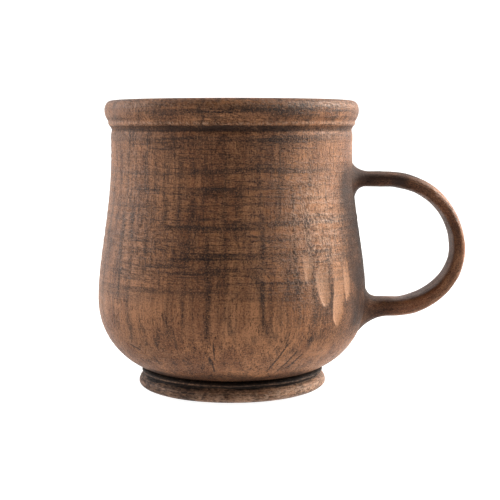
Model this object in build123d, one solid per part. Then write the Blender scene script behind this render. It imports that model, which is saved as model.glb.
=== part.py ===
"""A turned wooden mug with a carved strap handle.

Millimetres, +Z up.  The origin is the centre of the foot's resting ring, on the mug's axis, at
table level.  The handle reaches out along +X.

The mug comes apart into a turned body that is bored through at the bottom, a turned foot whose
spigot plugs that bore and makes the floor, a handle coped to the body, and four glue dowels that
hold the handle's two roots.
"""
import math
import os

from build123d import *

# Overall form
cup_height = 98.0            # table to the top of the rim
neck_radius = 40.9           # outside of the straight neck under the rim
neck_length = 16.0           # top of the rim down to where the swell begins
belly_radius = 45.9          # outside at the widest point
belly_height = 31.0          # height of the widest point
swell_bias = 1.15            # above 1, the flank stays close to the neck for longer
wall = 5.0                   # side wall of the neck, flank and belly

# Rim band and the groove under it
rim_overhang = 2.1           # how far the band stands proud of the neck
rim_band = 8.5               # height of the band above the groove
rim_crown = 3.2              # top of the rim down to the widest point of the band
rim_round = 2.8              # radial width of the rounded outer corner
lip_round = 1.6              # rounding of the inner edge of the mouth
groove_width = 1.8
groove_depth = 0.4

# Foot and floor
foot_radius = 32.3           # outside of the foot's rounded edge
edge_height = 2.5            # table to the widest point of that edge
foot_bead = 5.0              # height of that rounded edge
foot_height = 7.4            # table to the shoulder that the body sits on
waist_step = 2.8             # how far the body's underside is set in from the foot's edge
floor_height = 12.5          # table to the floor inside the mug
shoulder_width = 7.0         # ring of contact between the foot and the body
floor_ledge = 0.6            # flat of the body's own floor around the spigot
bowl_tuck = 1.2              # how far below the shoulder the bowl's curve would bottom out
rest_inset = 5.8             # rounding between the foot's edge and its resting ring
rest_width = 5.0             # width of the resting ring
recess_depth = 1.5           # hollow underneath, inside the resting ring
collar_inset = 1.1           # how far the collar line is set in from the foot's edge
collar_depth = 0.6           # depth of the two fine grooves beside the collar line

# Handle
handle_width = 13.0
handle_thickness = 4.8
handle_edge = 1.4            # rounding along the strap's four edges
finger_gap = 29.1            # belly to the inside of the loop
upper_arm_drop = 26.5        # top of the rim down to the middle of the upper arm
lower_arm_height = 27.6      # table to the middle of the lower arm
upper_bend = 24.8            # how far in from its outermost point the upper bend starts
lower_bend = 22.2            # how far in from its outermost point the lower bend ends
upper_bend_share = 0.54      # part of the loop's height that the upper bend takes
upper_flare = 4.5            # flare of the upper root into the body
lower_flare = 7.0            # flare of the lower root into the body
flare_lip = 0.6              # thickness at which the flare's edge ends on the body

# Dowels and glue lines
dowel_radius = 1.5
dowel_edge = 3.0             # side face of the handle to the dowel's axis
dowel_skin = 1.8             # wood left between the dowel hole and the inside of the mug
dowel_in_handle = 9.5
dowel_chamfer = 0.4
dowel_end_gap = 0.3          # space for glue at each end of a dowel
glue_gap = 0.05              # glue line around the spigot, the dowels and the handle's roots

# Places worked out from the sizes above
neck_start = cup_height - neck_length
groove_top = cup_height - rim_band
groove_bottom = groove_top - groove_width
waist_radius = foot_radius - waist_step
collar_radius = foot_radius - collar_inset
spigot_radius = waist_radius - shoulder_width
bore_radius = spigot_radius + glue_gap
upper_arm_height = cup_height - upper_arm_drop
loop_height = upper_arm_height - lower_arm_height
loop_reach = belly_radius + finger_gap + handle_thickness / 2
upper_rise = upper_bend_share * loop_height
lower_rise = loop_height - upper_rise

# The bowl's underside is part of an ellipse that is upright at the belly and passes through the
# edge of the foot's shoulder.
bowl_drop = belly_height - (foot_height - bowl_tuck)
bowl_share = math.sqrt(1 - ((belly_height - foot_height) / bowl_drop) ** 2)
bowl_centre = (waist_radius - belly_radius * bowl_share) / (1 - bowl_share)
bowl_run = belly_radius - bowl_centre


def outer_radius(height):
    """Outside radius of the body at a height between the foot and the rim's groove."""
    if height >= neck_start:
        return neck_radius
    if height >= belly_height:
        down = (neck_start - height) / (neck_start - belly_height)
        swell = down ** swell_bias
        return neck_radius + (belly_radius - neck_radius) * swell ** 2 * (3 - 2 * swell)
    drop = (belly_height - height) / bowl_drop
    return bowl_centre + bowl_run * math.sqrt(1 - drop ** 2)


def flank(grow):
    """Curve from the belly up to the neck, moved outwards by grow."""
    steps = 6
    rise = (neck_start - belly_height) / steps
    heights = [belly_height + rise * step for step in range(steps + 1)]
    points = [(outer_radius(height) + grow, height) for height in heights]
    return Spline(*points, tangents=[(0, 1), (0, 1)])


def bowl_underside(grow):
    """Elliptical curve from the foot's shoulder up to the belly, moved outwards by grow."""
    start = math.degrees(math.asin((belly_height - foot_height) / bowl_drop))
    return EllipticalCenterArc((bowl_centre + grow, belly_height), bowl_run, bowl_drop,
                               -start, arc_size=start)


def turned(outline):
    """Solid turned about Z from a closed outline drawn as (radius, height).

    The half turn puts the surface's seam on the side away from the handle.
    """
    return Rot(0, 0, 180) * revolve(Plane.XZ * make_face(outline), Axis.Z)


def envelope(grow):
    """The body's outside between foot and groove as a full solid, larger all round by grow."""
    underside = bowl_underside(grow)
    side = flank(grow)
    outline = underside + side
    outline += Polyline(side @ 1, (neck_radius + grow, groove_bottom), (0, groove_bottom),
                        (0, foot_height), underside @ 0)
    return turned(outline)


def rim_curve():
    """Outside of the rim band, from the groove up to the flat top."""
    return Spline((neck_radius, groove_top),
                  (neck_radius + rim_overhang, cup_height - rim_crown),
                  (neck_radius + rim_overhang - rim_round, cup_height),
                  tangents=[(0.5, 1), (-1, 0)])


def body_blank():
    """The turned body, before the dowel holes."""
    underside = bowl_underside(0)
    side = flank(0)
    rim = rim_curve()
    mouth_radius = neck_radius - wall
    inside_flank = flank(-wall)
    corner_centre = bore_radius + floor_ledge
    inside_corner = EllipticalCenterArc((corner_centre, belly_height),
                                        belly_radius - wall - corner_centre,
                                        belly_height - floor_height, -90, arc_size=90)
    outline = underside + side
    outline += Polyline(side @ 1, (neck_radius, groove_bottom),
                        (neck_radius - groove_depth, groove_bottom + groove_width / 2), rim @ 0)
    outline += rim
    outline += Line(rim @ 1, (mouth_radius + lip_round, cup_height))
    outline += RadiusArc((mouth_radius + lip_round, cup_height),
                         (mouth_radius, cup_height - lip_round), -lip_round)
    outline += Line((mouth_radius, cup_height - lip_round), inside_flank @ 1)
    outline += inside_flank
    outline += inside_corner
    outline += Polyline(inside_corner @ 0, (bore_radius, floor_height),
                        (bore_radius, foot_height), underside @ 0)
    return turned(outline)


def foot():
    """The turned foot: a rounded edge, a fine collar, and the spigot that makes the floor."""
    rest_outside = foot_radius - rest_inset
    rest_inside = rest_outside - rest_width
    collar = foot_height - foot_bead
    groove_radius = collar_radius - collar_depth
    underedge = EllipticalCenterArc((rest_outside, edge_height), rest_inset, edge_height, -90,
                                    arc_size=90)
    topedge = EllipticalCenterArc((groove_radius, edge_height), foot_radius - groove_radius,
                                  foot_bead - edge_height, 0, arc_size=90)
    outline = Polyline((0, floor_height), (0, recess_depth),
                       (rest_inside - recess_depth, recess_depth), (rest_inside, 0),
                       (rest_outside, 0))
    outline += underedge
    outline += topedge
    outline += ThreePointArc((groove_radius, foot_bead), (collar_radius, foot_bead + collar / 2),
                             (groove_radius, foot_height))
    outline += Polyline((groove_radius, foot_height), (spigot_radius, foot_height),
                        (spigot_radius, floor_height), (0, floor_height))
    return turned(outline)


def loop():
    """The handle's strap, with both ends run into the body's wall."""
    upper_start = outer_radius(upper_arm_height) - wall / 2
    lower_end = outer_radius(lower_arm_height) - wall / 2
    middle = lower_arm_height + lower_rise
    path = Line((upper_start, upper_arm_height), (loop_reach - upper_bend, upper_arm_height))
    path += EllipticalCenterArc((loop_reach - upper_bend, middle), upper_bend, upper_rise, 0,
                                arc_size=90)
    path += EllipticalCenterArc((loop_reach - lower_bend, middle), lower_bend, lower_rise, -90,
                                arc_size=90)
    path += Line((loop_reach - lower_bend, lower_arm_height), (lower_end, lower_arm_height))
    section = RectangleRounded(handle_width, handle_thickness, handle_edge)
    start = Plane((upper_start, 0, upper_arm_height), x_dir=(0, 1, 0), z_dir=(1, 0, 0))
    return sweep(start * section, Plane.XZ * path)


def handle_blank():
    """The strap with its flared roots, coped to the body's outside."""
    strap = loop()
    core = envelope(-flare_lip)
    joined = core + strap
    seams = new_edges(core, strap, combined=joined)
    middle = lower_arm_height + loop_height / 2
    upper_seam = seams.filter_by(lambda edge: edge.center().Z > middle)
    flared = fillet(upper_seam, upper_flare)
    lower_seam = [edge for edge in new_edges(core, strap, combined=flared)
                  if edge.center().Z < middle and edge.center().X < belly_radius + flare_lip]
    flared = fillet(lower_seam, lower_flare)
    return flared - envelope(glue_gap)


def dowel_row(radius, end_gap):
    """Name, and solid along X, of each dowel, or of its hole when end_gap lengthens it."""
    spread = handle_width / 2 - dowel_edge
    row = {}
    for arm, height in (("upper", upper_arm_height), ("lower", lower_arm_height)):
        surface = outer_radius(height)
        start = surface - (wall - dowel_skin) + dowel_end_gap - end_gap
        length = surface + dowel_in_handle - dowel_end_gap + end_gap - start
        for side, place in (("front", -spread), ("back", spread)):
            base = Plane((start, place, height), x_dir=(0, 1, 0), z_dir=(1, 0, 0))
            row[f"{arm}_dowel_{side}"] = base * extrude(Circle(radius), length)
    return row


dowels = dowel_row(dowel_radius, 0)
holes = list(dowel_row(dowel_radius + glue_gap, dowel_end_gap).values())
nodes = {
    "cup_body": body_blank() - holes,
    "foot": foot(),
    "handle": handle_blank() - holes,
}
for name, dowel in dowels.items():
    nodes[name] = chamfer(dowel.edges().filter_by(GeomType.CIRCLE), dowel_chamfer)

os.makedirs("parts", exist_ok=True)
for name, solid in nodes.items():
    export_step(solid, f"parts/{name}.step")
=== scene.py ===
"""The wooden mug's looks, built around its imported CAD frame.

Sizes are in millimetres, and meshes, lights and the camera are placed in metres.  An azimuth is
measured from the handle (+X) towards the front (-Y), so the handle is at 0 and the front at 90
degrees.
"""
import math

import bmesh
import bpy
import numpy as np
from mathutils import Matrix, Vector


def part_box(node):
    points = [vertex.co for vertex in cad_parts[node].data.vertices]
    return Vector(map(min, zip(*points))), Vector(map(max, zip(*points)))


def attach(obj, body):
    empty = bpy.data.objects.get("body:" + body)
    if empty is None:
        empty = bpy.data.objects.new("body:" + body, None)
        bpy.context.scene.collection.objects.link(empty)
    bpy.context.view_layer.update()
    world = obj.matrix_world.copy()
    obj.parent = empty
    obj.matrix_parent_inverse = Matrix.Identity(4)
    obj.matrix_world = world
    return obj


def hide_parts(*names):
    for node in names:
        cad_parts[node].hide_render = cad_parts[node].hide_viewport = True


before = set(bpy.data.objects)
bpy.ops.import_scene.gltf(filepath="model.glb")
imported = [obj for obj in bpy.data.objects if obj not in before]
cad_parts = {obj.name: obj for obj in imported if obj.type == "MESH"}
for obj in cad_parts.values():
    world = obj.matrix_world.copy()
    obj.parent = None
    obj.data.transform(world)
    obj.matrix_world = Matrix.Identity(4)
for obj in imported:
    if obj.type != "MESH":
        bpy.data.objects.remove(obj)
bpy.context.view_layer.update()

MM = 0.001
TAU = 2 * math.pi


# ------------------------------------------------------------------ sizes

def box_mm(node):
    """A node's lowest and highest corners in millimetres."""
    low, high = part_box(node)
    return np.array(low) / MM, np.array(high) / MM


body_low, body_high = box_mm("cup_body")
foot_low, foot_high = box_mm("foot")
handle_low, handle_high = box_mm("handle")

HEIGHT = body_high[2]
BELLY_RADIUS = body_high[1]
SHOULDER = body_low[2]
FLOOR = foot_high[2]
FOOT_RADIUS = foot_high[1]
REACH = handle_high[0]

# The rest follow the CAD model's own sizes.
NECK_RADIUS = BELLY_RADIUS - 5.0
NECK_START = HEIGHT - 16.0
BELLY_HEIGHT = 31.0
SWELL_BIAS = 1.15
WALL = 5.0
LIP_ROUND = 1.6
RIM_RADIUS = NECK_RADIUS + 2.1
GROOVE_TOP = HEIGHT - 8.5
GROOVE_BOTTOM = GROOVE_TOP - 1.8
WAIST_RADIUS = FOOT_RADIUS - 2.8
COLLAR_RADIUS = FOOT_RADIUS - 1.1
SPIGOT_RADIUS = WAIST_RADIUS - 7.0
BOWL_DROP = BELLY_HEIGHT - (SHOULDER - 1.2)
REST_OUTSIDE = FOOT_RADIUS - 5.8
REST_INSIDE = REST_OUTSIDE - 5.0
FOOT_EDGE = 2.5
FOOT_BEAD = 5.0
RECESS = 1.5
UPPER_ARM = HEIGHT - 26.5
LOWER_ARM = 27.6
STRAP_WIDTH = 13.0
STRAP_THICKNESS = 4.8
UPPER_BEND = 24.8
LOWER_BEND = 22.2
UPPER_SHARE = 0.54

BOWL_SHARE = math.sqrt(1 - ((BELLY_HEIGHT - SHOULDER) / BOWL_DROP) ** 2)
BOWL_CENTRE = (WAIST_RADIUS - BELLY_RADIUS * BOWL_SHARE) / (1 - BOWL_SHARE)
BOWL_RUN = BELLY_RADIUS - BOWL_CENTRE


# ------------------------------------------------------------------ small tools

def smooth(low, high, value):
    """0 below low, 1 above high, and an S curve between them."""
    share = np.clip((np.asarray(value, float) - low) / (high - low), 0, 1)
    return share * share * (3 - 2 * share)


def bell(value, centre, width):
    """1 at centre, fading away over width."""
    return np.exp(-((np.asarray(value, float) - centre) / width) ** 2)


def ripple(azimuth, height, seed, waves, turns, pitches):
    """Smooth seeded ripple over azimuth (radians) and height, roughly within -1 and 1."""
    rng = np.random.default_rng(seed)
    total = np.zeros(np.broadcast(azimuth, height).shape)
    for _ in range(waves):
        around = rng.integers(turns[0], turns[1] + 1)
        up = TAU / rng.uniform(*pitches) * rng.choice((-1, 1))
        phase = rng.uniform(0, TAU)
        total += rng.uniform(0.5, 1.0) * np.sin(around * azimuth + up * height + phase)
    return total / math.sqrt(waves)


def azimuth_gap(azimuth, centre):
    """Signed degrees from centre (degrees) to azimuth (radians), within -180 and 180."""
    return (np.degrees(azimuth) - centre + 180) % 360 - 180


def outer_radius(height):
    """Outside radius of the body at a height between the shoulder and the groove."""
    height = np.asarray(height, float)
    down = np.clip((NECK_START - height) / (NECK_START - BELLY_HEIGHT), 0, 1) ** SWELL_BIAS
    flank = NECK_RADIUS + (BELLY_RADIUS - NECK_RADIUS) * down ** 2 * (3 - 2 * down)
    drop = np.clip((BELLY_HEIGHT - height) / BOWL_DROP, 0, 1)
    bowl = BOWL_CENTRE + BOWL_RUN * np.sqrt(1 - drop ** 2)
    return np.where(height >= BELLY_HEIGHT, flank, bowl)


def along_line(points):
    """Distance of each point of a polyline from its start."""
    return np.r_[0, np.cumsum(np.linalg.norm(np.diff(points, axis=0), axis=1))]


def at_places(points, places):
    """Points of a polyline at given distances from its start."""
    lengths = along_line(points)
    return np.stack([np.interp(places, lengths, points[:, i]) for i in (0, 1)], axis=1)


def resample(points, step):
    """Points spaced about step apart along a polyline."""
    points = np.array(points, float)
    total = along_line(points)[-1]
    return at_places(points, np.linspace(0, total, max(2, int(round(total / step)) + 1)))


def curve(points, samples=40):
    """Smooth Catmull-Rom curve through a few points."""
    points = np.array(points, float)
    padded = np.vstack([2 * points[0] - points[1], points, 2 * points[-1] - points[-2]])
    made = []
    for a, b, c, d in zip(padded, padded[1:], padded[2:], padded[3:]):
        for t in np.linspace(0, 1, samples, endpoint=False):
            made.append(0.5 * (2 * b + (c - a) * t + (2 * a - 5 * b + 4 * c - d) * t ** 2
                               + (3 * b - a - 3 * c + d) * t ** 3))
    made.append(points[-1])
    return np.array(made)


def grid_mesh(name, places, attributes, ring=False):
    """Mesh from a grid of places, closed around its columns.

    A ring is closed along its rows too.  Any other grid gets a cap over its first and last rows.
    """
    rows, columns = places.shape[:2]
    index = np.arange(rows * columns).reshape(rows, columns)
    last = rows if ring else rows - 1
    lower = index[:last]
    upper = np.roll(index, -1, axis=0)[:last]
    quads = np.stack([lower, np.roll(lower, -1, axis=1), np.roll(upper, -1, axis=1), upper],
                     axis=-1)
    mesh = bpy.data.meshes.new(name)
    mesh.from_pydata((places.reshape(-1, 3) * MM).tolist(), [], quads.reshape(-1, 4).tolist())
    for key, values in attributes.items():
        kind, field = ("FLOAT_VECTOR", "vector") if values.ndim == 3 else ("FLOAT", "value")
        layer = mesh.attributes.new(key, kind, "POINT")
        layer.data.foreach_set(field, values.astype(np.float32).ravel())
    if not ring:
        work = bmesh.new()
        work.from_mesh(mesh)
        work.verts.ensure_lookup_table()
        work.faces.new([work.verts[i] for i in index[0][::-1].tolist()])
        work.faces.new([work.verts[i] for i in index[-1].tolist()])
        work.to_mesh(mesh)
        work.free()
    mesh.shade_smooth()
    piece = bpy.data.objects.new(name, mesh)
    bpy.context.collection.objects.link(piece)
    return piece


def turned_grid(profile, azimuth):
    """Azimuth, radius and height of every point of a turned surface."""
    radius = np.repeat(profile[:, :1], len(azimuth), axis=1)
    height = np.repeat(profile[:, 1:], len(azimuth), axis=1)
    return azimuth[None, :] + np.zeros_like(radius), radius, height


def turned_places(azimuth, radius, height):
    """Places in space; azimuth runs from +X towards -Y."""
    return np.stack([radius * np.cos(azimuth), -radius * np.sin(azimuth), height], axis=-1)


def stroke(azimuth, height, start, end, width):
    """1 along a straight scratch between two (azimuth in degrees, height) points."""
    around = azimuth_gap(azimuth, start[0]) * NECK_RADIUS * math.pi / 180
    run = (end[0] - start[0]) * NECK_RADIUS * math.pi / 180
    rise = end[1] - start[1]
    share = np.clip((around * run + (height - start[1]) * rise) / (run ** 2 + rise ** 2), 0, 1)
    away = np.hypot(around - share * run, height - start[1] - share * rise)
    return np.exp(-(away / width) ** 2)


# ------------------------------------------------------------------ the body

# Chisel flutes beside the handle: azimuth and half width in degrees, lowest and highest point,
# and depth
FLUTES = [
    (49.5, 3.6, 32.5, 48.0, 0.42),
    (40.8, 3.7, 26.0, 50.0, 0.55),
    (34.8, 2.4, 33.5, 50.0, 0.34),
    (57.0, 2.6, 41.0, 50.0, 0.20),
    (-38.0, 3.6, 30.5, 51.0, 0.50),
    (-46.5, 3.9, 36.0, 54.0, 0.42),
    (-54.5, 2.8, 41.0, 51.0, 0.24),
]

# Narrow upright rows of short dark ticks: azimuth, lowest and highest point, strength
LADDERS = [
    (55.0, 16, 70, 0.85), (62.5, 24, 74, 0.9), (77.0, 22, 84, 0.85), (92.0, 26, 80, 0.7),
    (99.0, 18, 62, 0.9), (109.0, 26, 44, 0.6), (127.0, 40, 58, 0.6), (143.0, 20, 66, 0.8),
    (158.0, 30, 74, 0.6), (-168.0, 18, 58, 0.8), (-141.0, 26, 66, 0.9), (-118.0, 16, 50, 0.7),
    (-96.0, 30, 64, 0.8), (-74.0, 20, 52, 0.9), (-61.0, 26, 48, 0.7),
]
# Evenly spaced rows high on the side away from the handle, front and back
LADDERS += [(106.0 + 6.3 * i, 54, 88, 0.75) for i in range(8)]
LADDERS += [(-150.0 + 7.1 * i, 56, 86, 0.7) for i in range(6)]
TICK_WIDTH = 1.6
TICK_STRENGTH = 0.62

# Drying cracks near the foot: start and end as (azimuth in degrees, height)
CRACKS = [
    ((96.0, 24.5), (98.0, 12.5)), ((99.2, 17.5), (97.6, 13.0)), ((66.0, 21.5), (72.0, 12.5)),
    ((60.5, 19.0), (66.5, 12.0)), ((57.5, 17.5), (62.0, 13.0)), ((139.0, 19.5), (133.0, 18.0)),
    ((-83.0, 22.0), (-78.0, 13.0)), ((-88.0, 17.5), (-85.0, 12.5)), ((-152.0, 20), (-149.0, 13)),
]
CRACK_WIDTH = 0.75
CRACK_DEPTH = 0.12


def flutes(azimuth, height):
    """The chisel flutes: where they cut (0 to 1), how deep, and the line around their edges."""
    cut = np.zeros(azimuth.shape)
    depth = np.zeros(azimuth.shape)
    edge = np.zeros(azimuth.shape)
    for centre, width, low, high, deep in FLUTES:
        # Each flute widens from a rounded foot, wavers a little, and fades out upwards.
        rise = np.clip((height - low) / 6.0, 0, 1)
        half = width * np.sqrt(np.clip(rise * (2 - rise), 1e-6, 1))
        sway = 0.7 * np.sin(height / 3.7 + centre)
        across = 1 - ((azimuth_gap(azimuth, centre) + sway) / half) ** 2
        across = np.where(height > low, across, -9.0)
        fade = 1 - smooth(low + 6, high, height)
        inside = np.clip(across, 0, 1)
        cut = np.maximum(cut, smooth(0, 0.3, inside) * fade)
        depth = np.maximum(depth, deep * inside * fade)
        edge = np.maximum(edge, bell(across, -0.05, 0.22) * fade)
    return cut, depth, edge


def near_root(azimuth, height, reach):
    """1 at the handle's roots, fading to 0 at reach beyond the strap."""
    side = np.abs(outer_radius(height) * np.sin(azimuth))
    near = np.zeros(azimuth.shape)
    for arm in (UPPER_ARM, LOWER_ARM):
        away = np.hypot(np.maximum(side - STRAP_WIDTH / 2, 0),
                        np.maximum(np.abs(height - arm) - STRAP_THICKNESS / 2, 0))
        near = np.maximum(near, 1 - smooth(reach * 0.7, reach, away))
    return near * (np.cos(azimuth) > 0)


def rim_outline():
    """The rim from just under its groove, over a fine bead and the band, to the flat top."""
    neck, top = NECK_RADIUS, GROOVE_TOP
    return curve([(neck, GROOVE_BOTTOM - 1.0), (neck - 0.22, GROOVE_BOTTOM),
                  (neck - 0.30, GROOVE_BOTTOM + 0.6), (neck - 0.02, GROOVE_BOTTOM + 1.2),
                  (neck + 0.42, top), (neck + 0.84, top + 0.55),
                  (neck + 0.92, top + 0.95), (neck + 0.84, top + 1.35), (neck + 0.98, top + 1.75),
                  (RIM_RADIUS - 0.42, top + 3.0), (RIM_RADIUS - 0.04, top + 4.4),
                  (RIM_RADIUS, HEIGHT - 2.9), (RIM_RADIUS - 0.3, HEIGHT - 1.6),
                  (RIM_RADIUS - 0.95, HEIGHT - 0.65), (RIM_RADIUS - 1.9, HEIGHT - 0.15),
                  (RIM_RADIUS - 3.0, HEIGHT)])


def body_profile():
    """Closed (radius, height) outline of the body, and how many of its rows are outside."""
    bore = SPIGOT_RADIUS + 0.05
    corner = bore + 0.6
    bowl = [(outer_radius(z), z) for z in np.linspace(SHOULDER, BELLY_HEIGHT, 160)]
    flank = [(outer_radius(z), z) for z in np.linspace(BELLY_HEIGHT, GROOVE_BOTTOM - 1.0, 120)]
    mouth = NECK_RADIUS - WALL
    turn = np.linspace(0, math.pi / 2, 14)
    lip = [(mouth + LIP_ROUND * (1 - math.sin(a)), HEIGHT - LIP_ROUND * (1 - math.cos(a)))
           for a in turn]
    inside = [(outer_radius(z) - WALL, z) for z in np.linspace(HEIGHT - 2, BELLY_HEIGHT, 60)]
    drop = np.linspace(0, math.pi / 2, 40)
    hollow = [(corner + (BELLY_RADIUS - WALL - corner) * math.cos(a),
               BELLY_HEIGHT - (BELLY_HEIGHT - FLOOR) * math.sin(a)) for a in drop]
    outside = resample(np.vstack([bowl, flank[1:]]), 0.62)
    band = resample(rim_outline(), 0.36)
    lip_edge = resample(lip, 0.45)
    inner = resample(np.vstack([lip[-1:], inside[1:], hollow[1:]]), 2.2)
    joint = np.array([(bore, FLOOR), (bore, SHOULDER + 2.5), (bore, SHOULDER),
                      (bore + 3.5, SHOULDER)])
    profile = np.vstack([outside, band[1:], lip_edge, inner[1:], joint])
    return profile, len(outside) + len(band) - 1


def body_columns():
    """Azimuths of the body's columns, closer together on the handle's side."""
    degrees = np.linspace(0, 180, 721)
    spacing = np.interp(degrees, [0, 66, 84, 180], [0.70, 0.70, 1.15, 1.15])
    filled = np.cumsum(1 / spacing)
    filled = (filled - filled[0]) / (filled[-1] - filled[0])
    half = np.interp(np.linspace(0, 1, 192), filled, degrees)
    return np.radians(np.r_[half[:-1], 360 - half[:0:-1]])


def body_dents(azimuth, height):
    """Depth of the small dents, about half of them on the rim."""
    rng = np.random.default_rng(21)
    depth = np.zeros(azimuth.shape)
    for _ in range(34):
        at = rng.uniform(0, 360)
        up = rng.choice((rng.uniform(HEIGHT - 5, HEIGHT - 0.4), rng.uniform(14, HEIGHT - 14)))
        wide = rng.uniform(0.9, 2.4)
        around = azimuth_gap(azimuth, at) * NECK_RADIUS * math.pi / 180
        depth += rng.uniform(0.06, 0.20) * np.exp(
            -(around / wide) ** 2 - ((height - up) / (wide * 0.6)) ** 2)
    return depth


def tick_rows(azimuth, height):
    """1 at the strongest along the upright rows of ticks, 0 away from them."""
    marks = np.zeros(azimuth.shape)
    for centre, low, high, strength in LADDERS:
        drift = 0.5 * np.sin(height / 6.0 + centre)
        reach = smooth(low, low + 6, height) * (1 - smooth(high - 8, high, height))
        row = bell(azimuth_gap(azimuth, centre), drift, TICK_WIDTH)
        marks = np.maximum(marks, TICK_STRENGTH * strength * reach * row)
    return marks


def drying_cracks(azimuth, height):
    """1 along the drying cracks, 0 away from them."""
    cracks = np.zeros(azimuth.shape)
    for start, end in CRACKS:
        cracks = np.maximum(cracks, stroke(azimuth, height, start, end, CRACK_WIDTH))
    return cracks


def make_body():
    """The turned body with its tool lines, dents, chisel flutes, stain with painted shade under the
    rim, and lighter edges and patches, partly wear and partly painted highlight.
    """
    profile, outer_rows = body_profile()
    azimuth, radius, height = turned_grid(profile, body_columns())
    outside = np.zeros(radius.shape)
    outside[:outer_rows] = 1
    inside = 1 - outside
    root = near_root(azimuth, height, 9.5)
    free = outside * (1 - root)
    below_rim = 1 - smooth(GROOVE_BOTTOM - 2, GROOVE_BOTTOM, height)
    lines = ripple(azimuth, height, 11, 26, (0, 3), (1.8, 7.0))
    fine = ripple(azimuth, height, 12, 20, (0, 9), (1.4, 3.2))
    sway = ripple(azimuth, height, 13, 8, (2, 5), (60.0, 140.0))
    cut, depth, edge = flutes(azimuth, height)
    above_foot = smooth(SHOULDER, SHOULDER + 4, height)
    tooled = below_rim * above_foot * (0.25 + 0.75 * smooth(32, 58, height))
    moved = free * (0.075 * lines * tooled + 0.02 * fine * above_foot)
    moved += free * 0.09 * sway * smooth(SHOULDER, 30, height)
    moved -= free * depth
    moved -= free * body_dents(azimuth, height)
    walls = inside * smooth(FLOOR + 1, FLOOR + 6, height)
    walls = walls * (1 - smooth(HEIGHT - 3, HEIGHT - 1, height))
    moved += 0.05 * walls * lines
    marks = tick_rows(azimuth, height)
    cracks = drying_cracks(azimuth, height)
    moved -= CRACK_DEPTH * cracks * outside
    return grid_mesh("cup_body_wood", turned_places(azimuth, radius + moved, height), {
        "grain": turned_places(azimuth, radius, height),
        "stain_and_painted_light": np.maximum(body_stain_and_shade(azimuth, height, cut) * outside, 0.25 * inside),
        "flute_cut": cut * outside,
        "marks": marks * outside,
        "cracks": np.maximum(cracks, 0.8 * edge * free) * outside,
        "wear_and_highlight": body_wear_and_highlight(azimuth, height) * outside,
        "aged": np.where(outside > 0, aged(azimuth, height), 0.4),
    }, ring=True)


def body_stain_and_shade(azimuth, height, cut):
    """Where the wood is darkened: stain around the handle and above the foot, and under the rim
    partly stain and partly painted shadow of the rim.
    """
    waver = ripple(azimuth, height, 31, 10, (1, 9), (14.0, 60.0))
    side = np.abs(azimuth_gap(azimuth, 0))
    tall = smooth(17, 26, height + 2 * waver) * (1 - smooth(71, 81, height + 2.5 * waver))
    # Below the flutes the stain spreads further round.
    low = smooth(15, 24, height) * (1 - smooth(34, 52, height))
    spread = 0.62 * low * (1 - smooth(44, 62, side + 3 * waver))
    narrow = 2.5 * bell(height, 46, 12)
    handle = (1 - smooth(26.5 - narrow, 43.0 - narrow, side + 3.2 * waver)) * tall
    handle = np.maximum(0.9 * handle, spread) * (1 - 0.9 * cut)
    front = np.cos(np.radians(azimuth_gap(azimuth, 90))) ** 2
    edge = SHOULDER + 1.4 + 2.4 * front + 0.6 * waver
    foot = 0.78 * (1 - smooth(edge - 1.6, edge + 1.0, height))
    # The groove under the rim is partly stain and partly painted shadow under the rim's overhang,
    # darkest at the front.
    darkness = 0.62 + 0.36 * bell(azimuth_gap(azimuth, 100), 0, 48) + 0.10 * waver
    darkness = np.clip(darkness, 0.4, 1)
    groove = smooth(GROOVE_BOTTOM - 0.5, GROOVE_BOTTOM + 0.2, height)
    groove = groove * (1 - smooth(GROOVE_TOP - 0.15, GROOVE_TOP + 0.35, height))
    # Fainter darkening: above the bead, on the flat top, a painted shadow under the groove that is
    # strongest at the front and back, and a darker patch low on the left
    shade = 0.35 * bell(height, GROOVE_TOP + 2.2, 0.7)
    shade = shade + 0.3 * smooth(HEIGHT - 0.5, HEIGHT - 0.1, height)
    shade = shade + 0.50 * front * bell(height, GROOVE_BOTTOM - 4.0, 6.0)
    shade = shade + 0.42 * bell(azimuth_gap(azimuth, 132), 0, 28) * bell(height, 19, 13)
    return np.clip(np.maximum.reduce([handle, foot, groove * darkness, shade]), 0, 1)


def body_wear_and_highlight(azimuth, height):
    """Lighter places: painted sheen beside the handle, front and back, a painted highlight along
    the bead at the rim's lower edge, and the rim's rounded top edge, partly rubbed and partly
    painted highlight.
    """
    # Painted sheen where the light falls beside the handle, and the same patch on the back.
    front = bell(azimuth_gap(azimuth, 50), 0, 14) * bell(height, 57, 18)
    back = bell(azimuth_gap(azimuth, -48), 0, 13) * bell(height, 57, 16)
    # A painted highlight on the bead; a lighter rounded top edge, partly rubbed and partly painted
    # highlight.
    lip = bell(height, GROOVE_TOP + 0.75, 0.45) * 0.9
    crown = bell(height, HEIGHT - 1.8, 1.0) * 0.35
    return np.clip(np.maximum.reduce([front, back, lip, crown]), 0, 1)


def aged(azimuth, height):
    """1 where the grain is dark and open, mostly in the upper half, front and back."""
    waver = ripple(azimuth, height, 41, 10, (1, 5), (20.0, 80.0))
    upper = smooth(24, 46, height + 5 * waver)
    around = 0.68 + 0.32 * np.cos(2 * np.radians(azimuth_gap(azimuth, 84)))
    return np.clip(upper * around + 0.10 * waver, 0.05, 1)


# ------------------------------------------------------------------ the foot

# The foot's grain is drawn out around the mug by shrinking it across.
FOOT_GRAIN_STRETCH = 0.4


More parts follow.
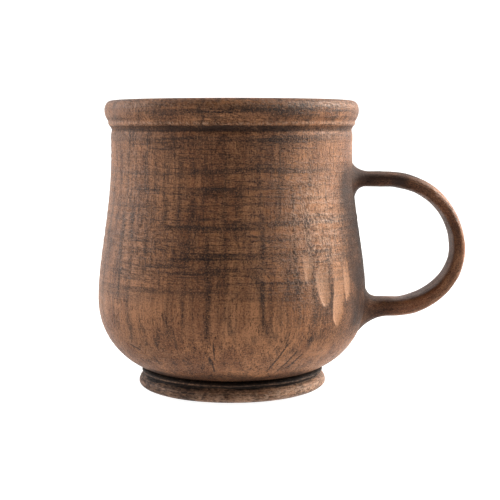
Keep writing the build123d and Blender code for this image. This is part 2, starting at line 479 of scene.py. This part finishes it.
def foot_profile():
    """(radius, height) outline of the foot, from the middle underneath to the middle of its top."""
    turn = np.linspace(0, math.pi / 2, 30)
    inset = FOOT_RADIUS - REST_OUTSIDE
    under_edge = [(REST_OUTSIDE + inset * math.sin(a), FOOT_EDGE * (1 - math.cos(a)))
                  for a in turn]
    groove = COLLAR_RADIUS - 0.85
    top_edge = curve([(FOOT_RADIUS, FOOT_EDGE), (FOOT_RADIUS - 0.25, 3.5),
                      (FOOT_RADIUS - 0.85, 4.3), (COLLAR_RADIUS - 0.45, 4.85),
                      (groove, FOOT_BEAD + 0.15)])
    collar = curve([(groove, FOOT_BEAD + 0.15), (COLLAR_RADIUS - 0.4, 5.5),
                    (COLLAR_RADIUS - 0.04, 5.95), (COLLAR_RADIUS - 0.04, 6.4),
                    (COLLAR_RADIUS - 0.45, 6.85), (COLLAR_RADIUS - 1.1, 7.1),
                    (WAIST_RADIUS - 0.5, SHOULDER)])
    under = curve([(0.3, RECESS + 0.05), (8, RECESS), (16, RECESS - 0.05), (19.4, RECESS - 0.1),
                   (20.4, 1.15), (REST_INSIDE - 0.4, 0.3), (REST_INSIDE, 0.0)])
    top = [(SPIGOT_RADIUS - 0.1, SHOULDER), (SPIGOT_RADIUS - 0.1, FLOOR - 0.25),
           (SPIGOT_RADIUS - 0.4, FLOOR), (0.3, FLOOR)]
    return np.vstack([
        resample(under, 0.5), resample([(REST_INSIDE, 0), (REST_OUTSIDE, 0)], 0.9)[1:],
        resample(under_edge, 0.35)[1:], resample(top_edge, 0.25)[1:], resample(collar, 0.2)[1:],
        resample([collar[-1], top[0]], 2.0)[1:], resample(top, 0.7)[1:]])


def foot_knocks(azimuth, height):
    """Depth of the knocks along the foot's rounded edge."""
    rng = np.random.default_rng(52)
    depth = np.zeros(azimuth.shape)
    for _ in range(20):
        at = rng.uniform(0, 360)
        up = rng.uniform(0.8, 4.2)
        wide = rng.uniform(0.8, 2.8)
        around = azimuth_gap(azimuth, at) * FOOT_RADIUS * math.pi / 180
        depth += rng.uniform(0.08, 0.28) * np.exp(-(around / wide) ** 2 - (height - up) ** 2)
    return depth


def make_foot():
    """The turned foot: a rounded edge, a fine collar, the mug's floor and a hollow underside."""
    azimuth, radius, height = turned_grid(foot_profile(), np.linspace(0, TAU, 320, endpoint=False))
    fine = ripple(azimuth, height, 51, 18, (0, 8), (1.0, 4.0))
    waver = ripple(azimuth, height, 53, 10, (1, 12), (6.0, 20.0))
    outer = smooth(REST_OUTSIDE + 1, FOOT_RADIUS - 1.5, radius)
    below = (height < RECESS + 0.5) & (radius < REST_INSIDE + 0.5)
    moved = radius + 0.04 * fine * outer - 0.05 * outer
    moved -= outer * foot_knocks(azimuth, height)
    rings = np.sin(radius * TAU / 2.1 + 0.8 * np.sin(azimuth)) * below * smooth(2, 5, radius)
    floor = height > FLOOR - 0.3
    # Painted light: the foot is lit from the right front. Its top is painted in shade under the
    # body, less on that side, and the rest of the foot is painted darker away from that side.
    sunny = (0.5 + 0.5 * np.cos(np.radians(azimuth_gap(azimuth, 38)))) ** 3
    dark_top = smooth(3.9, 4.9, height + 0.5 * waver - 0.5 * sunny)
    stain_and_painted_light = np.maximum(dark_top, 0.70 - 0.70 * sunny + 0.14 * waver)
    # A painted highlight: a lighter line along the collar's bead.
    stain_and_painted_light = stain_and_painted_light - 0.38 * bell(height, 6.2, 0.28) * (radius > COLLAR_RADIUS - 0.6)
    stain_and_painted_light = np.where(floor | below, 0.25, stain_and_painted_light)
    return grid_mesh("foot_wood", turned_places(azimuth, moved, height + 0.05 * rings), {
        "grain": turned_places(azimuth, FOOT_GRAIN_STRETCH * radius, height),
        "stain_and_painted_light": np.clip(stain_and_painted_light, 0, 1),
        "flute_cut": np.zeros(radius.shape),
        "marks": np.clip(0.5 * waver * outer, 0, 1),
        "cracks": np.zeros(radius.shape),
        # A painted highlight along the rounded edge on the lit side.
        "wear_and_highlight": np.clip(sunny * bell(height, FOOT_EDGE, 1.6) * outer, 0, 1),
        "aged": np.where(floor | below, 0.35, 0.8),
    })


# ------------------------------------------------------------------ the handle

# How far each side of a root's flare runs along the strap, and how far it stands out on the body
UPPER_FLARE = {"outer": (6.2, 3.9), "inner": (3.7, 4.8), "side": (6.0, 4.0)}
LOWER_FLARE = {"outer": (8.4, 7.2), "inner": (3.9, 4.6), "side": (7.5, 4.8)}

# The strap's thickness at shares of its length
THICKNESS = [(0.0, 5.0), (0.2, 5.15), (0.34, 4.9), (0.44, 4.7), (0.54, 4.75), (0.66, 5.4),
             (0.8, 6.2), (1.0, 6.3)]
INNER_ROUND = 1.2
OUTER_ROUND = 2.2
SECTION_POWER = 5.2          # how square the strap's section is
SECTION_CROWN = 0.08
HANDLE_GRAIN_SCALE = 2.2     # the grain is finer across the strap than along it

# The chip on the front outer edge: share of the strap's length, turn round its section, size, depth
CHIP_SHARE = 0.425
CHIP_TURN = 0.66
CHIP_LENGTH = 0.85
CHIP_WIDTH = 0.22
CHIP_DEPTH = 0.9


def strap_line():
    """Middle line of the strap in the XZ plane, from the upper root to the lower one."""
    reach = REACH - STRAP_THICKNESS / 2
    rise = UPPER_SHARE * (UPPER_ARM - LOWER_ARM)
    fall = (UPPER_ARM - LOWER_ARM) - rise
    middle = LOWER_ARM + fall
    turn = np.linspace(0, math.pi / 2, 160)
    upper = [(float(outer_radius(UPPER_ARM)), UPPER_ARM)]
    over = [(reach - UPPER_BEND * (1 - math.sin(a)), middle + rise * math.cos(a)) for a in turn]
    back = [(reach - LOWER_BEND * (1 - math.cos(a)), middle - fall * math.sin(a)) for a in turn[1:]]
    lower = [(float(outer_radius(LOWER_ARM)), LOWER_ARM)]
    return resample(np.array(upper + over + back + lower), 0.1)


def row_places(total):
    """Places of the strap's rows: crowded at both roots, where the flares curl into the body."""
    near = 9.0 * np.linspace(0, 1, 34) ** 2
    middle = np.linspace(9.0, total - 9.0, int((total - 18.0) / 0.5))
    return np.r_[near, middle[1:-1], total - near[::-1]]


def flare(distance, run, stand):
    """How far a flare stands out at a distance from the body: all of stand at 0, nothing at run."""
    near = np.clip(distance / run, 0, 1)
    return stand * (1 - np.sqrt(np.clip(1 - (1 - near) ** 2, 0, 1)))


def section_turn(points):
    """Turn of each point round the strap's section, with more points near its four corners."""
    turn = np.linspace(0, TAU, points, endpoint=False) + TAU / points / 2
    return turn + 0.17 * np.sin(4 * turn)


def strap_section(aim_side, aim_out, half_width, half_depth):
    """Sideways and outward size of a rounded rectangle with faintly crowned faces."""
    square = np.abs(aim_side) ** SECTION_POWER + np.abs(aim_out) ** SECTION_POWER
    stretch = square ** (-1 / SECTION_POWER)
    rounding = INNER_ROUND + (OUTER_ROUND - INNER_ROUND) * smooth(-0.3, 0.5, aim_out)
    across = (half_width - rounding) * aim_side * stretch + rounding * aim_side
    out = (half_depth - rounding) * aim_out * stretch + rounding * aim_out
    crown = SECTION_CROWN * aim_out * (1 - (across / half_width) ** 2)
    return across, out + crown


def strap_outward(line, places):
    """Unit vectors that point outwards from the strap's middle line at the given places."""
    total = along_line(line)[-1]
    ahead = at_places(line, np.clip(places + 0.2, 0, total))
    behind = at_places(line, np.clip(places - 0.2, 0, total))
    heading = ahead - behind
    heading /= np.linalg.norm(heading, axis=1)[:, None]
    return np.stack([-heading[:, 1], heading[:, 0]], axis=1)


def root_flares(s, total, aim_out):
    """How much the section grows at both roots, at distance s along a strap of length total."""
    outer_share = np.clip(aim_out, 0, 1) ** 1.5
    inner_share = np.clip(-aim_out, 0, 1) ** 1.5
    side_share = 1 - outer_share - inner_share
    grow = np.zeros(s.shape)
    for away, sizes in ((s, UPPER_FLARE), (total - s, LOWER_FLARE)):
        run, stand = (sizes["side"][i] * side_share + sizes["outer"][i] * outer_share
                      + sizes["inner"][i] * inner_share for i in (0, 1))
        grow = np.maximum(grow, flare(away, run, stand))
    return grow


def handle_rub_and_highlight(s, total, aim_out):
    """Lighter places on the strap: its outer face and edges, partly rubbed by hands and partly a
    painted highlight band, and a painted highlight along the lower inner edge.
    """
    ridge = bell(aim_out, 0.62, 0.34)
    rub_and_highlight = 0.35 * np.clip(aim_out, 0, 1) + 0.75 * ridge
    rub_and_highlight = rub_and_highlight * smooth(16, 32, s) * smooth(8, 24, total - s)
    # A painted highlight along the lower inner edge.
    inner_ridge = bell(aim_out, -0.8, 0.22) * smooth(0.5, 0.7, s / total)
    inner_ridge = inner_ridge * smooth(5, 14, total - s)
    return np.maximum(rub_and_highlight, 0.7 * inner_ridge)


def root_shift(y, z, s, total):
    """Move along X that keeps points near a root at their distance from the body's face."""
    face = np.sqrt(np.maximum(outer_radius(z) ** 2 - y ** 2, 1.0))
    shift = np.zeros(z.shape)
    for away, arm in ((s, UPPER_ARM), (total - s, LOWER_ARM)):
        hold = 1 - smooth(0, 12, away)
        shift = shift + hold * (face - float(outer_radius(arm)))
    return shift


def handle_stain_and_highlight(s, total, aim_out, rub_and_highlight, waver):
    """Dark at the roots and along the upper arm; lighter along the lower arm, where rubbed and
    painted with highlights, and on the inner face as a painted reflection.
    """
    roots = 1 - smooth(2, 13, np.minimum(s, total - s) + 2 * waver)
    arms = 0.26 * bell(s, 13, 11) - 0.24 * bell(total - s, 15, 9)
    # A painted reflection lightens the inner face.
    inner = 0.12 * np.clip(-aim_out, 0, 1)
    return np.clip(0.60 + 0.24 * roots + arms + 0.18 * waver - 0.75 * rub_and_highlight - inner, 0, 1)


def make_handle():
    """The carved strap, flared smoothly into the body at both roots."""
    line = strap_line()
    total = along_line(line)[-1]
    rows = row_places(total)
    middle = at_places(line, rows)
    outward = strap_outward(line, rows)
    turn = section_turn(112)[None, :]
    aim_side, aim_out = np.cos(turn), np.sin(turn)
    s = rows[:, None] + np.zeros(turn.shape)
    end = np.minimum(s, total - s)
    share, thick = zip(*THICKNESS)
    half_depth = np.interp(s / total, share, thick) / 2
    half_width = STRAP_WIDTH / 2 * (0.985 + 0.015 * np.cos(TAU * s / total))
    across, out = strap_section(aim_side, aim_out, half_width, half_depth)
    carve = ripple(turn, s, 61, 12, (1, 4), (7.0, 30.0))
    fine = ripple(turn, s, 62, 14, (2, 9), (2.5, 8.0))
    loose = smooth(3, 12, end)
    across = across + (0.12 * carve + 0.03 * fine) * aim_side * loose
    out = out + (0.09 * carve + 0.03 * fine) * aim_out * loose
    grow = root_flares(s, total, aim_out)
    across = across + aim_side * grow
    out = out + aim_out * grow
    x = middle[:, :1] + outward[:, :1] * out
    z = middle[:, 1:] + outward[:, 1:] * out
    y = -across
    x = x + root_shift(y, z, s, total)
    x = x - 0.15 * (1 - smooth(0, 0.5, end))
    # A chip is missing from the front outer edge, above the loop's middle.
    chip = np.exp(-((s - CHIP_SHARE * total) / CHIP_LENGTH) ** 2
                  - ((turn - CHIP_TURN) / CHIP_WIDTH) ** 2)
    x = x - CHIP_DEPTH * chip * outward[:, :1]
    z = z - CHIP_DEPTH * chip * outward[:, 1:]
    waver = ripple(turn, s, 63, 10, (0, 4), (8.0, 40.0))
    # Rubbed places and painted highlights, which lighten the strap and thin its stain.
    rub_and_highlight = handle_rub_and_highlight(s, total, aim_out)
    stain_and_painted_light = handle_stain_and_highlight(s, total, aim_out, rub_and_highlight, waver)
    return grid_mesh("handle_wood", np.stack([x, y, z], axis=-1), {
        "grain": np.stack([HANDLE_GRAIN_SCALE * out, HANDLE_GRAIN_SCALE * y, s], axis=-1),
        "stain_and_painted_light": np.maximum(stain_and_painted_light, chip),
        "flute_cut": np.zeros(s.shape),
        "marks": np.zeros(s.shape),
        # The chip's hollow is drawn dark by the crack and stain masks.
        "cracks": smooth(0.25, 0.6, chip),
        "wear_and_highlight": np.clip(rub_and_highlight * (0.6 + 0.4 * waver) - chip, 0, 1),
        "aged": np.full(s.shape, 0.12),
    })


# ------------------------------------------------------------------ materials

class Graph:
    """A few short calls that build a material's nodes."""

    def __init__(self, name):
        self.material = bpy.data.materials.new(name)
        self.material.use_nodes = True
        self.tree = self.material.node_tree
        self.shader = self.tree.nodes["Principled BSDF"]

    def put(self, socket, value):
        """Links a socket, or sets a constant."""
        if isinstance(value, bpy.types.NodeSocket):
            self.tree.links.new(value, socket)
        else:
            socket.default_value = value

    def math(self, operation, first, second):
        node = self.tree.nodes.new("ShaderNodeMath")
        node.operation = operation
        self.put(node.inputs[0], first)
        self.put(node.inputs[1], second)
        return node.outputs[0]

    def plus(self, first, second):
        return self.math("ADD", first, second)

    def less(self, first, second):
        return self.math("SUBTRACT", first, second)

    def times(self, *values):
        total = values[0]
        for value in values[1:]:
            total = self.math("MULTIPLY", total, value)
        return total

    def most(self, first, second):
        return self.math("MAXIMUM", first, second)

    def attribute(self, name, output="Fac"):
        node = self.tree.nodes.new("ShaderNodeAttribute")
        node.attribute_name = name
        return node.outputs[output]

    def stretched(self, vector, scale, turn=None):
        """The vector turned by some degrees, then scaled along each axis."""
        if turn:
            node = self.tree.nodes.new("ShaderNodeMapping")
            self.put(node.inputs["Vector"], vector)
            node.inputs["Rotation"].default_value = [math.radians(a) for a in turn]
            vector = node.outputs[0]
        node = self.tree.nodes.new("ShaderNodeMapping")
        self.put(node.inputs["Vector"], vector)
        node.inputs["Scale"].default_value = scale
        return node.outputs[0]

    def noise(self, vector, detail=3.0, rough=0.55, warp=0.0):
        node = self.tree.nodes.new("ShaderNodeTexNoise")
        self.put(node.inputs["Vector"], vector)
        node.inputs["Scale"].default_value = 1.0
        node.inputs["Detail"].default_value = detail
        node.inputs["Roughness"].default_value = rough
        node.inputs["Distortion"].default_value = warp
        return node.outputs["Fac"]

    def step(self, value, low, high):
        """0 below low, 1 above high, smooth between."""
        node = self.tree.nodes.new("ShaderNodeMapRange")
        node.interpolation_type = "SMOOTHSTEP"
        self.put(node.inputs["Value"], value)
        node.inputs["From Min"].default_value = low
        node.inputs["From Max"].default_value = high
        return node.outputs["Result"]

    def mix(self, share, first, second):
        node = self.tree.nodes.new("ShaderNodeMix")
        node.data_type = "RGBA"
        self.put(node.inputs["Factor"], share)
        self.put(node.inputs["A"], first)
        self.put(node.inputs["B"], second)
        return node.outputs["Result"]

    def bump(self, height, distance):
        node = self.tree.nodes.new("ShaderNodeBump")
        node.inputs["Distance"].default_value = distance
        self.put(node.inputs["Height"], height)
        return node.outputs["Normal"]


def rgb(red, green, blue):
    """Linear colour from the 0 to 255 values that a screen shows."""
    values = [c / 255 for c in (red, green, blue)]
    return [c / 12.92 if c <= 0.04045 else ((c + 0.055) / 1.055) ** 2.4 for c in values] + [1.0]


# How strongly each kind of mark darkens the wood
STREAKS = 0.62
BANDS = 0.90
LINES_OLD = 0.86
LINES_ANYWHERE = 0.10
FIBRES = 0.44
FLOW = 0.75
DASHES = 0.85
VEINS = 0.68
SPECKS = 0.90
GRIT_DARK = 0.62
CRACKED = 0.85
STAIN_AND_SHADE = 0.96

# How strongly rubbed and cut places, with the painted highlights and sheen on them, lighten it
LIGHTEN_RUB_AND_HIGHLIGHT = 0.85
WORN_SHEEN = 0.36
CUT = 0.42
CUT_PALE_SHEEN = 0.26
GRIT_LIGHT = 0.60

# Pale colour of the cut flutes: partly fresh wood under the stain, partly painted sheen
CUT_WOOD_SHEEN = rgb(184, 148, 121)
# Pale, greyish colour of the painted sheen over the rubbed and highlighted places
WORN_SHEEN_WOOD = rgb(190, 166, 146)
GLOSS = 0.2
RELIEF = 0.00016


def broad_tone(g, grain, old, light, middle, dark):
    """Soft clouds, upright figure and streaks, and horizontal turning bands."""
    clouds = g.noise(g.stretched(grain, (0.05, 0.05, 0.035)), 3, 0.6)
    figure = g.noise(g.stretched(grain, (0.30, 0.30, 0.022), (3, -5, 0)), 4, 0.6, 0.3)
    tone = g.plus(g.times(clouds, 0.5), g.times(figure, 0.5))
    colour = g.mix(g.step(tone, 0.38, 0.62), middle, light)
    streaks = g.noise(g.stretched(grain, (0.42, 0.42, 0.028)), 4, 0.65, 0.2)
    colour = g.mix(g.times(g.step(streaks, 0.50, 0.68), STREAKS), colour, dark)
    bands = g.noise(g.stretched(grain, (0.018, 0.018, 0.42)), 4, 0.65)
    colour = g.mix(g.times(g.step(bands, 0.46, 0.66), old, BANDS), colour, dark)
    return colour, clouds


def fine_lines(g, grain):
    """Turning lines that hold stain, and faint upright fibres."""
    lines = g.step(g.noise(g.stretched(grain, (0.05, 0.05, 1.5)), 3, 0.65), 0.52, 0.70)
    fibres = g.step(g.noise(g.stretched(grain, (1.1, 1.1, 0.045)), 3, 0.65), 0.50, 0.72)
    return lines, fibres


def speck_marks(g, grain, old, patches):
    """Short horizontal flecks, slanting flow lines, upright dashes, and the rows of ticks."""
    flecks = g.noise(g.stretched(grain, (0.55, 0.55, 2.3)), 4, 0.75)
    flecks = g.times(g.step(flecks, 0.51, 0.61), g.step(patches, 0.34, 0.56), old)
    flow = g.noise(g.stretched(grain, (0.13, 0.4, 1.6), (0, -14, 0)), 4, 0.7, 0.3)
    flow = g.times(g.step(flow, 0.54, 0.64), old, FLOW)
    dashes = g.noise(g.stretched(grain, (2.2, 2.2, 0.55)), 3, 0.7)
    dashes = g.times(g.step(dashes, 0.54, 0.63), g.step(patches, 0.64, 0.44), DASHES)
    ticks = g.noise(g.stretched(grain, (0.8, 0.8, 2.4)), 2, 0.7)
    ticks = g.step(g.plus(g.attribute("marks"), ticks), 0.98, 1.12)
    return g.most(g.most(flecks, flow), g.most(dashes, ticks))


def crack_lines(g, grain):
    """The cracks and flute outlines, with rough edges."""
    rough_edge = g.noise(g.stretched(grain, (1.6, 1.6, 1.6)), 2, 0.6)
    return g.step(g.plus(g.attribute("cracks"), g.times(rough_edge, 0.5)), 0.98, 1.14)


def lightened(g, grain, colour, light, flute_cut):
    """The colour made lighter where rubbed and where painted highlights and sheen lie, and in the
    cut flutes, partly as fresh wood and partly as painted sheen.
    """
    scratch = g.noise(g.stretched(grain, (1.3, 1.3, 0.5), (20, 25, 0)), 3, 0.75)
    pale = g.times(g.step(scratch, 0.46, 0.62), g.attribute("wear_and_highlight"))
    colour = g.mix(g.most(g.times(pale, LIGHTEN_RUB_AND_HIGHLIGHT), g.times(flute_cut, CUT)), colour, light)
    colour = g.mix(g.times(flute_cut, CUT_PALE_SHEEN), colour, CUT_WOOD_SHEEN)
    return g.mix(g.times(pale, WORN_SHEEN), colour, WORN_SHEEN_WOOD)


def stain_and_shade_share(g, stain_and_painted_light, patches, grit):
    """How much of the stain and painted shade colour shows, uneven from patch to patch."""
    uneven = g.plus(stain_and_painted_light, g.times(g.less(patches, 0.5), 0.9))
    uneven = g.plus(uneven, g.times(g.less(grit, 0.5), 0.9))
    return g.times(g.step(uneven, 0.05, 1.1), g.step(stain_and_painted_light, 0.0, 0.2), STAIN_AND_SHADE)


def wood(name, light, middle, dark, stain_and_shade_colour):
    """Stained, waxed wood with painted shade and highlights; its grain attribute holds millimetres,
    with the length along Z.
    """
    g = Graph(name)
    grain = g.attribute("grain", "Vector")
    stain_and_painted_light = g.attribute("stain_and_painted_light")
    flute_cut = g.attribute("flute_cut")
    old = g.attribute("aged")
    patches = g.noise(g.stretched(grain, (0.09, 0.09, 0.13)), 3, 0.6)
    grit = g.noise(g.stretched(grain, (1.9, 1.9, 2.2)), 3, 0.75)

    colour, clouds = broad_tone(g, grain, old, light, middle, dark)
    lines, fibres = fine_lines(g, grain)
    line_share = g.plus(g.times(old, LINES_OLD), LINES_ANYWHERE)
    colour = g.mix(g.times(lines, line_share), colour, dark)
    colour = g.mix(g.times(fibres, FIBRES), colour, dark)

    # Just over half of the specks carry on through the cut flutes.
    specks = speck_marks(g, grain, old, patches)
    specks = g.times(specks, g.plus(g.times(g.less(1.0, flute_cut), 0.45), 0.55))
    veins = g.times(g.step(g.attribute("marks"), 0.05, 0.6), g.step(patches, 0.34, 0.56))
    colour = g.mix(g.times(veins, VEINS), colour, dark)
    colour = g.mix(g.times(specks, SPECKS), colour, dark)

    colour = lightened(g, grain, colour, light, flute_cut)
    colour = g.mix(g.times(g.step(grit, 0.51, 0.66), GRIT_DARK), colour, dark)
    colour = g.mix(g.times(g.step(grit, 0.48, 0.34), GRIT_LIGHT), colour, light)
    # The stain colour also paints the shade that the stain mask holds.
    colour = g.mix(stain_and_shade_share(g, stain_and_painted_light, patches, grit), colour, stain_and_shade_colour)
    cracks = crack_lines(g, grain)
    colour = g.mix(g.times(cracks, CRACKED), colour, dark)

    g.put(g.shader.inputs["Base Color"], colour)
    g.shader.inputs["Specular IOR Level"].default_value = GLOSS
    rough = g.plus(0.36, g.times(specks, 0.25))
    rough = g.plus(rough, g.times(g.less(grit, 0.5), 0.35))
    rough = g.plus(rough, g.times(stain_and_painted_light, 0.26))
    g.put(g.shader.inputs["Roughness"], g.plus(rough, g.times(clouds, 0.12)))
    relief = g.less(g.times(grit, -0.5), g.times(specks, 0.7))
    relief = g.less(relief, g.times(g.plus(lines, fibres), 0.3))
    g.put(g.shader.inputs["Normal"], g.bump(g.less(relief, cracks), RELIEF))
    return g.material


def dowel_material():
    """Bare beech with fine pale grain, for the hidden dowels."""
    g = Graph("dowel_beech")
    node = g.tree.nodes.new("ShaderNodeTexCoord")
    fibre = g.noise(g.stretched(node.outputs["Object"], (120, 2200, 2200)), 3, 0.6)
    colour = g.mix(g.step(fibre, 0.35, 0.7), rgb(206, 172, 128), rgb(168, 128, 86))
    g.put(g.shader.inputs["Base Color"], colour)
    g.put(g.shader.inputs["Roughness"], g.plus(0.6, g.times(fibre, 0.2)))
    g.put(g.shader.inputs["Normal"], g.bump(fibre, 0.00005))
    return g.material


# ------------------------------------------------------------------ pieces

def dress(piece, material, node):
    """Gives a piece its material, puts it under the root body and hides the CAD node that it stands
    for.
    """
    piece.data.materials.append(material)
    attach(piece, "root")
    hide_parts(node)


# Each wood's light, middle and dark grain, and its stain colour, which also paints shade
body_wood = wood("body_wood",
                 rgb(155, 106, 71), rgb(111, 69, 42), rgb(27, 14, 8), rgb(35, 19, 11))
foot_wood = wood("foot_wood",
                 rgb(164, 124, 96), rgb(98, 62, 40), rgb(24, 13, 8), rgb(15, 9, 6))
handle_wood = wood("handle_wood",
                   rgb(160, 110, 76), rgb(116, 68, 40), rgb(26, 13, 8), rgb(34, 18, 11))
dress(make_body(), body_wood, "cup_body")
dress(make_foot(), foot_wood, "foot")
dress(make_handle(), handle_wood, "handle")

beech = dowel_material()
for name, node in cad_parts.items():
    if "dowel" in name:
        node.data.materials.clear()
        node.data.materials.append(beech)


# ------------------------------------------------------------------ stage, lights and camera

# The sheet's half width, its front and back, the radius of its bend and its top, in metres
SHEET_HALF = 2.4
SHEET_FRONT = -2.2
SHEET_BACK = 1.2
SHEET_BEND = 0.5
SHEET_TOP = 2.4

# The wide floor just under the sheet: how far it reaches, its height, and its wall's top
FLOOR_REACH = 8.0
FLOOR_LEVEL = -0.0005
FLOOR_WALL = 0.7

STAGE_GREY = 0.30
STAGE_GLOW = 0.95


def sheet_surface():
    """Places and faces of the sheet that curves up into a backdrop behind the mug."""
    line = [(SHEET_FRONT, 0.0), (SHEET_BACK - SHEET_BEND, 0.0)]
    for a in np.linspace(0, math.pi / 2, 16)[1:]:
        line.append((SHEET_BACK - SHEET_BEND + SHEET_BEND * math.sin(a),
                     SHEET_BEND - SHEET_BEND * math.cos(a)))
    line.append((SHEET_BACK, SHEET_TOP))
    places = [(x, y, z) for y, z in line for x in (-SHEET_HALF, SHEET_HALF)]
    faces = [(2 * i, 2 * i + 1, 2 * i + 3, 2 * i + 2) for i in range(len(line) - 1)]
    return places, faces


def wide_floor(start):
    """Places and faces, numbered from start, of a square floor with a low wall round it."""
    far = FLOOR_REACH
    corners = [(-far, -far), (far, -far), (far, far), (-far, far)]
    places = [(x, y, z) for z in (FLOOR_LEVEL, FLOOR_WALL) for x, y in corners]
    faces = [tuple(range(start, start + 4))]
    for i in range(4):
        after = (i + 1) % 4
        faces.append((start + i, start + after, start + 4 + after, start + 4 + i))
    return places, faces


def make_stage():
    """A pale curved sheet behind the mug, and a wide floor that keeps every side view pale."""
    places, faces = sheet_surface()
    floor_places, floor_faces = wide_floor(len(places))
    mesh = bpy.data.meshes.new("stage")
    mesh.from_pydata(places + floor_places, [], faces + floor_faces)
    mesh.shade_smooth()
    sheet = bpy.data.objects.new("stage", mesh)
    bpy.context.collection.objects.link(sheet)
    material = bpy.data.materials.new("stage_pale")
    material.use_nodes = True
    shader = material.node_tree.nodes["Principled BSDF"]
    shader.inputs["Base Color"].default_value = (STAGE_GREY, STAGE_GREY, STAGE_GREY, 1)
    shader.inputs["Roughness"].default_value = 1.0
    shader.inputs["Emission Color"].default_value = (1, 1, 1, 1)
    shader.inputs["Emission Strength"].default_value = STAGE_GLOW
    mesh.materials.append(material)


# Where each softbox stands and its size, both in metres, its power in watts, and its colour
SOFTBOXES = {
    "left_box": ((-0.785, 0.15, 0.42), (0.55, 0.75), 8.6, (1.0, 0.97, 0.96)),
    "right_box": ((0.735, 0.20, 0.46), (0.45, 0.60), 22.5, (1.0, 0.95, 0.88)),
}
WORLD_STRENGTH = 0.07
SENSOR_WIDTH = 36.0
LENS = 84.2
CAMERA_PLACE = (6.15 * MM, -400.3 * MM, 88.6 * MM)
CAMERA_TILT = 5.93           # degrees below level


def softbox(name, place, aim, size, power, colour):
    """A soft rectangular light aimed at a point."""
    light = bpy.data.lights.new(name, "AREA")
    light.shape = "RECTANGLE"
    light.size, light.size_y = size
    light.energy = power
    light.color = colour
    holder = bpy.data.objects.new(name, light)
    holder.location = place
    holder.rotation_euler = (Vector(aim) - Vector(place)).to_track_quat("-Z", "Y").to_euler()
    bpy.context.collection.objects.link(holder)


make_stage()
middle = (0.0, 0.0, HEIGHT * MM / 2)
for name, (place, size, power, colour) in SOFTBOXES.items():
    softbox(name, place, middle, size, power, colour)

world = bpy.data.worlds.new("studio")
world.use_nodes = True
world.node_tree.nodes["Background"].inputs["Color"].default_value = (1, 1, 1, 1)
world.node_tree.nodes["Background"].inputs["Strength"].default_value = WORLD_STRENGTH
bpy.context.scene.world = world
bpy.context.scene.view_settings.view_transform = "Standard"

# The camera stands just under the rim's height, a little to the handle's side of the mug's axis.
camera_data = bpy.data.cameras.new("camera")
camera_data.sensor_width = SENSOR_WIDTH
camera_data.lens = LENS
camera = bpy.data.objects.new("camera", camera_data)
camera.location = CAMERA_PLACE
camera.rotation_euler = (math.radians(90 - CAMERA_TILT), 0, 0)
bpy.context.collection.objects.link(camera)
bpy.context.scene.camera = camera
